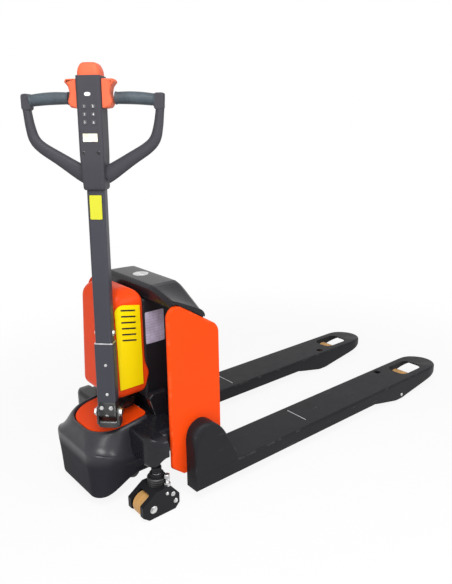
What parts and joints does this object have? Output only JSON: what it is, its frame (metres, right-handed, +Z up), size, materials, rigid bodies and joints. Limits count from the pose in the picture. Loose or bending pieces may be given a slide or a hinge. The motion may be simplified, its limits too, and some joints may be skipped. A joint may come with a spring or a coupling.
{
  "type": "electric pallet truck",
  "caption": "Walk-behind electric pallet truck: twin lifting forks on load rollers, a covered steered drive wheel with stabiliser casters, and a tilting tiller with loop handles.",
  "frame": {"origin": "centre of the truck's footprint, on the floor", "axes": "+Y along the forks towards their tips, +X to the operator's right, +Z up"},
  "size_m": [0.55, 1.6009, 1.2364],
  "materials": {
    "orange_paint": "gloss",
    "orange_plastic": "satin",
    "yellow_paint": "satin",
    "black_plastic": "satin",
    "fork_paint": "satin",
    "pole_paint": "satin",
    "grip_rubber": "matt",
    "roller_pu": "satin",
    "drive_rubber": "matt",
    "zinc_steel": "zinc plated",
    "dark_steel": "oiled",
    "plate_foil": "printed foil"
  },
  "bodies": {
    "drive_base": {"base_frame": "fork_paint", "drive_cover": "black_plastic", "cover_inset": "orange_paint", "slew_ring": "zinc_steel", "lift_barrel": "dark_steel"},
    "steer_unit": {"steer_arm": "dark_steel", "tiller_pin": "zinc_steel", "drive_yoke": "dark_steel", "traction_motor": "dark_steel"},
    "drive_wheel": {"drive_hub": "dark_steel", "drive_tyre": "drive_rubber"},
    "tiller": {"tiller_sleeve": "pole_paint", "tiller_pole": "pole_paint", "tiller_head": "black_plastic", "grip_left": "grip_rubber", "grip_right": "grip_rubber", "handle_loop_left": "black_plastic", "handle_loop_right": "black_plastic"},
    "throttle": {"throttle_paddle_left": "orange_plastic", "throttle_paddle_right": "orange_plastic"},
    "belly_switch": {"belly_button": "orange_plastic"},
    "fork_frame": {"fork_left": "fork_paint", "fork_right": "fork_paint", "heel_gusset_left": "fork_paint", "heel_gusset_right": "fork_paint", "side_panel_left": "orange_paint", "side_panel_right": "orange_paint", "bulkhead": "fork_paint", "arch_cover": "black_plastic", "power_box": "black_plastic", "lift_bracket": "dark_steel", "lift_ram": "zinc_steel", "battery_pack": "black_plastic", "front_cover": "orange_plastic", "vent_panel": "yellow_paint", "data_plate": "plate_foil", "pump_motor": "dark_steel", "hydraulic_tank": "black_plastic", "motor_controller": "dark_steel", "arm_pin_left": "zinc_steel", "arm_pin_right": "zinc_steel"},
    "rocker": {"rocker_shaft": "dark_steel"},
    "key_1": {"key_1": "grip_rubber"},
    "key_2": {"key_2": "grip_rubber"},
    "key_3": {"key_3": "grip_rubber"},
    "key_4": {"key_4": "grip_rubber"},
    "key_5": {"key_5": "grip_rubber"},
    "key_6": {"key_6": "grip_rubber"},
    "caster_right": {"caster_housing_right": "fork_paint", "adjuster_bolt_right": "zinc_steel"},
    "caster_wheel_right": {"caster_wheel_right": "roller_pu"},
    "push_rod_right": {"push_rod_right": "dark_steel"},
    "wheel_arm_right": {"wheel_arm_right": "fork_paint"},
    "load_roller_right": {"load_roller_right": "roller_pu"},
    "caster_left": {"caster_housing_left": "fork_paint", "adjuster_bolt_left": "zinc_steel"},
    "caster_wheel_left": {"caster_wheel_left": "roller_pu"},
    "push_rod_left": {"push_rod_left": "dark_steel"},
    "wheel_arm_left": {"wheel_arm_left": "fork_paint"},
    "load_roller_left": {"load_roller_left": "roller_pu"}
  },
  "joints": [
    {"name": "fork_lift", "type": "slide", "parent": "drive_base", "child": "fork_frame", "axis": [0, 0, 1], "range_m": [0, 0.115]},
    {"name": "steer", "type": "hinge", "parent": "drive_base", "child": "steer_unit", "pos_m": [0, -0.57165, 0], "axis": [0, 0, 1], "range_deg": [-125, 35]},
    {"name": "drive_spin", "type": "hinge", "parent": "steer_unit", "child": "drive_wheel", "pos_m": [0, -0.57165, 0.095], "axis": [0.7071, 0.7071, 0], "continuous": true},
    {"name": "tiller_tilt", "type": "hinge", "parent": "steer_unit", "child": "tiller", "pos_m": [0.12374, -0.69539, 0.309], "axis": [0.7071, 0.7071, 0], "range_deg": [0, 80], "stiffness_Nm_per_rad": 45, "springref_deg": -20.05},
    {"name": "throttle_turn", "type": "hinge", "parent": "tiller", "child": "throttle", "pos_m": [0.09229, -0.66394, 1.15783], "axis": [0.7071, 0.7071, 0], "range_deg": [-22, 22], "stiffness_Nm_per_rad": 0.8},
    {"name": "belly_press", "type": "slide", "parent": "tiller", "child": "belly_switch", "axis": [0.037, -0.037, -0.9986], "range_m": [0, 0.006], "stiffness_N_per_m": 1500},
    {"name": "key_1_press", "type": "slide", "parent": "tiller", "child": "key_1", "axis": [-0.7061, 0.7061, -0.0523], "range_m": [0, 0.0015], "stiffness_N_per_m": 800},
    {"name": "key_2_press", "type": "slide", "parent": "tiller", "child": "key_2", "axis": [-0.7061, 0.7061, -0.0523], "range_m": [0, 0.0015], "stiffness_N_per_m": 800},
    {"name": "key_3_press", "type": "slide", "parent": "tiller", "child": "key_3", "axis": [-0.7061, 0.7061, -0.0523], "range_m": [0, 0.0015], "stiffness_N_per_m": 800},
    {"name": "key_4_press", "type": "slide", "parent": "tiller", "child": "key_4", "axis": [-0.7061, 0.7061, -0.0523], "range_m": [0, 0.0015], "stiffness_N_per_m": 800},
    {"name": "key_5_press", "type": "slide", "parent": "tiller", "child": "key_5", "axis": [-0.7061, 0.7061, -0.0523], "range_m": [0, 0.0015], "stiffness_N_per_m": 800},
    {"name": "key_6_press", "type": "slide", "parent": "tiller", "child": "key_6", "axis": [-0.7061, 0.7061, -0.0523], "range_m": [0, 0.0015], "stiffness_N_per_m": 800},
    {"name": "rocker_turn", "type": "hinge", "parent": "fork_frame", "child": "rocker", "pos_m": [0, -0.42965, 0.05], "axis": [1, 0, 0], "range_deg": [-45, 0]},
    {"name": "caster_swivel_right", "type": "hinge", "parent": "drive_base", "child": "caster_right", "pos_m": [0.214, -0.60465, 0], "axis": [0, 0, 1], "continuous": true},
    {"name": "caster_roll_right", "type": "hinge", "parent": "caster_right", "child": "caster_wheel_right", "pos_m": [0.214, -0.64465, 0.034], "axis": [1, 0, 0], "continuous": true},
    {"name": "push_rod_slide_right", "type": "slide", "parent": "fork_frame", "child": "push_rod_right", "axis": [0, 1, 0], "range_m": [0, 0.0165]},
    {"name": "wheel_arm_turn_right", "type": "hinge", "parent": "fork_frame", "child": "wheel_arm_right", "pos_m": [0.2, 0.46535, 0.045], "axis": [1, 0, 0], "range_deg": [-55, 0]},
    {"name": "load_roll_right", "type": "hinge", "parent": "wheel_arm_right", "child": "load_roller_right", "pos_m": [0.2, 0.61035, 0.037], "axis": [1, 0, 0], "continuous": true},
    {"name": "caster_swivel_left", "type": "hinge", "parent": "drive_base", "child": "caster_left", "pos_m": [-0.214, -0.60465, 0], "axis": [0, 0, 1], "continuous": true},
    {"name": "caster_roll_left", "type": "hinge", "parent": "caster_left", "child": "caster_wheel_left", "pos_m": [-0.214, -0.64465, 0.034], "axis": [1, 0, 0], "continuous": true},
    {"name": "push_rod_slide_left", "type": "slide", "parent": "fork_frame", "child": "push_rod_left", "axis": [0, 1, 0], "range_m": [0, 0.0165]},
    {"name": "wheel_arm_turn_left", "type": "hinge", "parent": "fork_frame", "child": "wheel_arm_left", "pos_m": [-0.2, 0.46535, 0.045], "axis": [1, 0, 0], "range_deg": [-55, 0]},
    {"name": "load_roll_left", "type": "hinge", "parent": "wheel_arm_left", "child": "load_roller_left", "pos_m": [-0.2, 0.61035, 0.037], "axis": [1, 0, 0], "continuous": true}
  ],
  "couplings": [
    {"joint": "rocker_turn", "follows": "fork_lift", "rad_per_m": -6.78},
    {"joint": "push_rod_slide_right", "follows": "fork_lift", "ratio": 0.139},
    {"joint": "wheel_arm_turn_right", "follows": "fork_lift", "rad_per_m": -8.3},
    {"joint": "push_rod_slide_left", "follows": "fork_lift", "ratio": 0.139},
    {"joint": "wheel_arm_turn_left", "follows": "fork_lift", "rad_per_m": -8.3}
  ]
}
